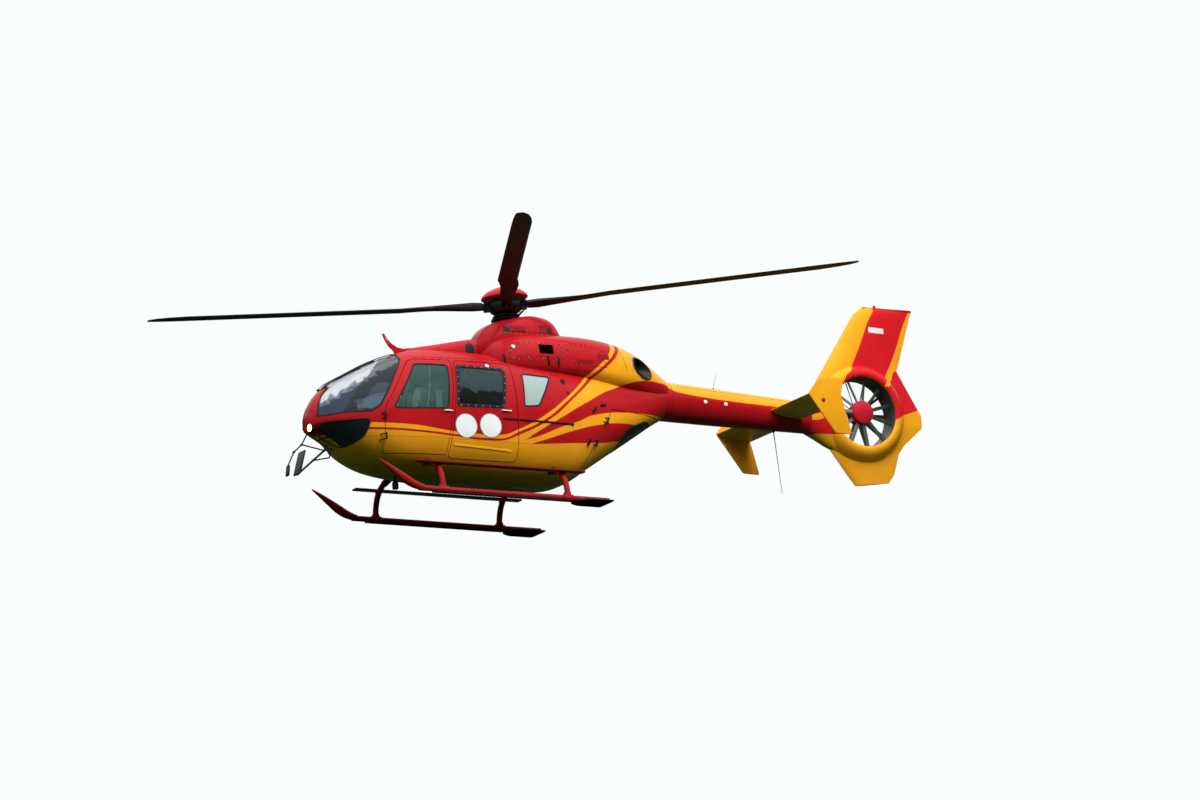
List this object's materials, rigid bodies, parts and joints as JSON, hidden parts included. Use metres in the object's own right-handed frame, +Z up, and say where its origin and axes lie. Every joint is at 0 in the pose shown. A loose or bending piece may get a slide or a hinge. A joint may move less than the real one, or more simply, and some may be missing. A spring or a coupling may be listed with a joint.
{
  "type": "light twin-engine rescue helicopter",
  "caption": "Twin-engine rescue helicopter on skids with a bearingless main rotor, a ducted tail fan, hinged pilots' doors and rear clamshell doors.",
  "frame": {"origin": "on the floor under the middle of the outer box, which is 1.109 m behind the rotor head", "axes": "+X forward to the nose, +Y to the left (port) side, +Z up"},
  "size_m": [11.406, 9.1772, 3.5116],
  "materials": {
    "paint_red": "gloss paint",
    "paint_yellow": "gloss paint",
    "paint_black": "satin",
    "gear_red": "gloss paint",
    "blade_grey": "satin paint",
    "glass_clear": "clear",
    "glass_dark": "tinted",
    "metal_dark": "satin",
    "engine_cast": "cast",
    "metal_bare": "brushed",
    "exhaust_steel": "heat stained",
    "seat_fabric": "woven",
    "trim_grey": "satin paint",
    "lamp_clear": "clear"
  },
  "bodies": {
    "airframe": {"windscreen_left": "glass_clear", "windscreen_right": "glass_clear", "chin_window_left": "glass_dark", "chin_window_right": "glass_dark", "side_window_left": "glass_clear", "side_window_right": "glass_clear", "sliding_door_glass_left": "glass_clear", "sliding_door_glass_right": "glass_clear", "sliding_door_left": "paint_red", "sliding_door_right": "paint_red", "cabin_shell_upper": "paint_red", "cabin_shell_lower": "paint_yellow", "engine_cowling": "paint_red", "exhaust_left": "exhaust_steel", "exhaust_right": "exhaust_steel", "mast_fairing": "paint_red", "roof_fairing": "paint_red", "engine_left": "engine_cast", "engine_right": "engine_cast", "swashplate": "metal_bare", "gearbox": "engine_cast", "tail_boom": "paint_red", "fin_shroud": "paint_red", "fan_stator": "paint_red", "stabiliser_left": "paint_yellow", "stabiliser_right": "paint_yellow", "skid_left": "gear_red", "skid_right": "gear_red", "cross_tube_front": "gear_red", "cross_tube_rear": "gear_red", "boarding_step_left": "gear_red", "boarding_step_right": "gear_red", "cabin_floor": "trim_grey", "pilot_seat_left": "seat_fabric", "pilot_seat_right": "seat_fabric", "cabin_seat": "seat_fabric", "stretcher": "seat_fabric", "instrument_panel": "paint_black", "landing_light": "lamp_clear", "mirror_frame": "metal_dark", "wire_cutter": "paint_red", "belly_lamp": "lamp_clear", "antenna_low": "paint_black", "cargo_plate": "metal_bare"},
    "main_rotor": {"rotor_hub": "metal_dark", "rotor_cap": "paint_red", "blade_1": "blade_grey", "blade_2": "blade_grey", "blade_3": "blade_grey", "blade_4": "blade_grey"},
    "tail_fan_rotor": {"tail_fan": "metal_dark"},
    "pilot_door_port": {"pilot_door_glass_left": "glass_clear", "pilot_door_left": "paint_red"},
    "pilot_door_starboard": {"pilot_door_glass_right": "glass_clear", "pilot_door_right": "paint_red"},
    "clamshell_port": {"clamshell_glass_left": "glass_dark", "clamshell_door_left": "paint_yellow"},
    "clamshell_starboard": {"clamshell_glass_right": "glass_dark", "clamshell_door_right": "paint_yellow"}
  },
  "joints": [
    {"name": "main_rotor_spin", "type": "hinge", "parent": "airframe", "child": "main_rotor", "pos_m": [1.109, 0, 3.06], "axis": [0.0489, 0, 0.9988], "continuous": true},
    {"name": "tail_fan_spin", "type": "hinge", "parent": "airframe", "child": "tail_fan_rotor", "pos_m": [-4.661, -0.075, 1.86], "axis": [0, 1, 0], "continuous": true},
    {"name": "pilot_door_port_hinge", "type": "hinge", "parent": "airframe", "child": "pilot_door_port", "pos_m": [3.549, 0.722, 1], "axis": [0, 0, -1], "range_deg": [0, 75]},
    {"name": "pilot_door_starboard_hinge", "type": "hinge", "parent": "airframe", "child": "pilot_door_starboard", "pos_m": [3.549, -0.722, 1], "axis": [0, 0, 1], "range_deg": [0, 75]},
    {"name": "clamshell_port_hinge", "type": "hinge", "parent": "airframe", "child": "clamshell_port", "pos_m": [0.01244, 0.672, 1.14], "axis": [0.5011, 0, -0.8654], "range_deg": [0, 95]},
    {"name": "clamshell_starboard_hinge", "type": "hinge", "parent": "airframe", "child": "clamshell_starboard", "pos_m": [0.01244, -0.672, 1.14], "axis": [-0.5011, 0, 0.8654], "range_deg": [0, 95]}
  ]
}
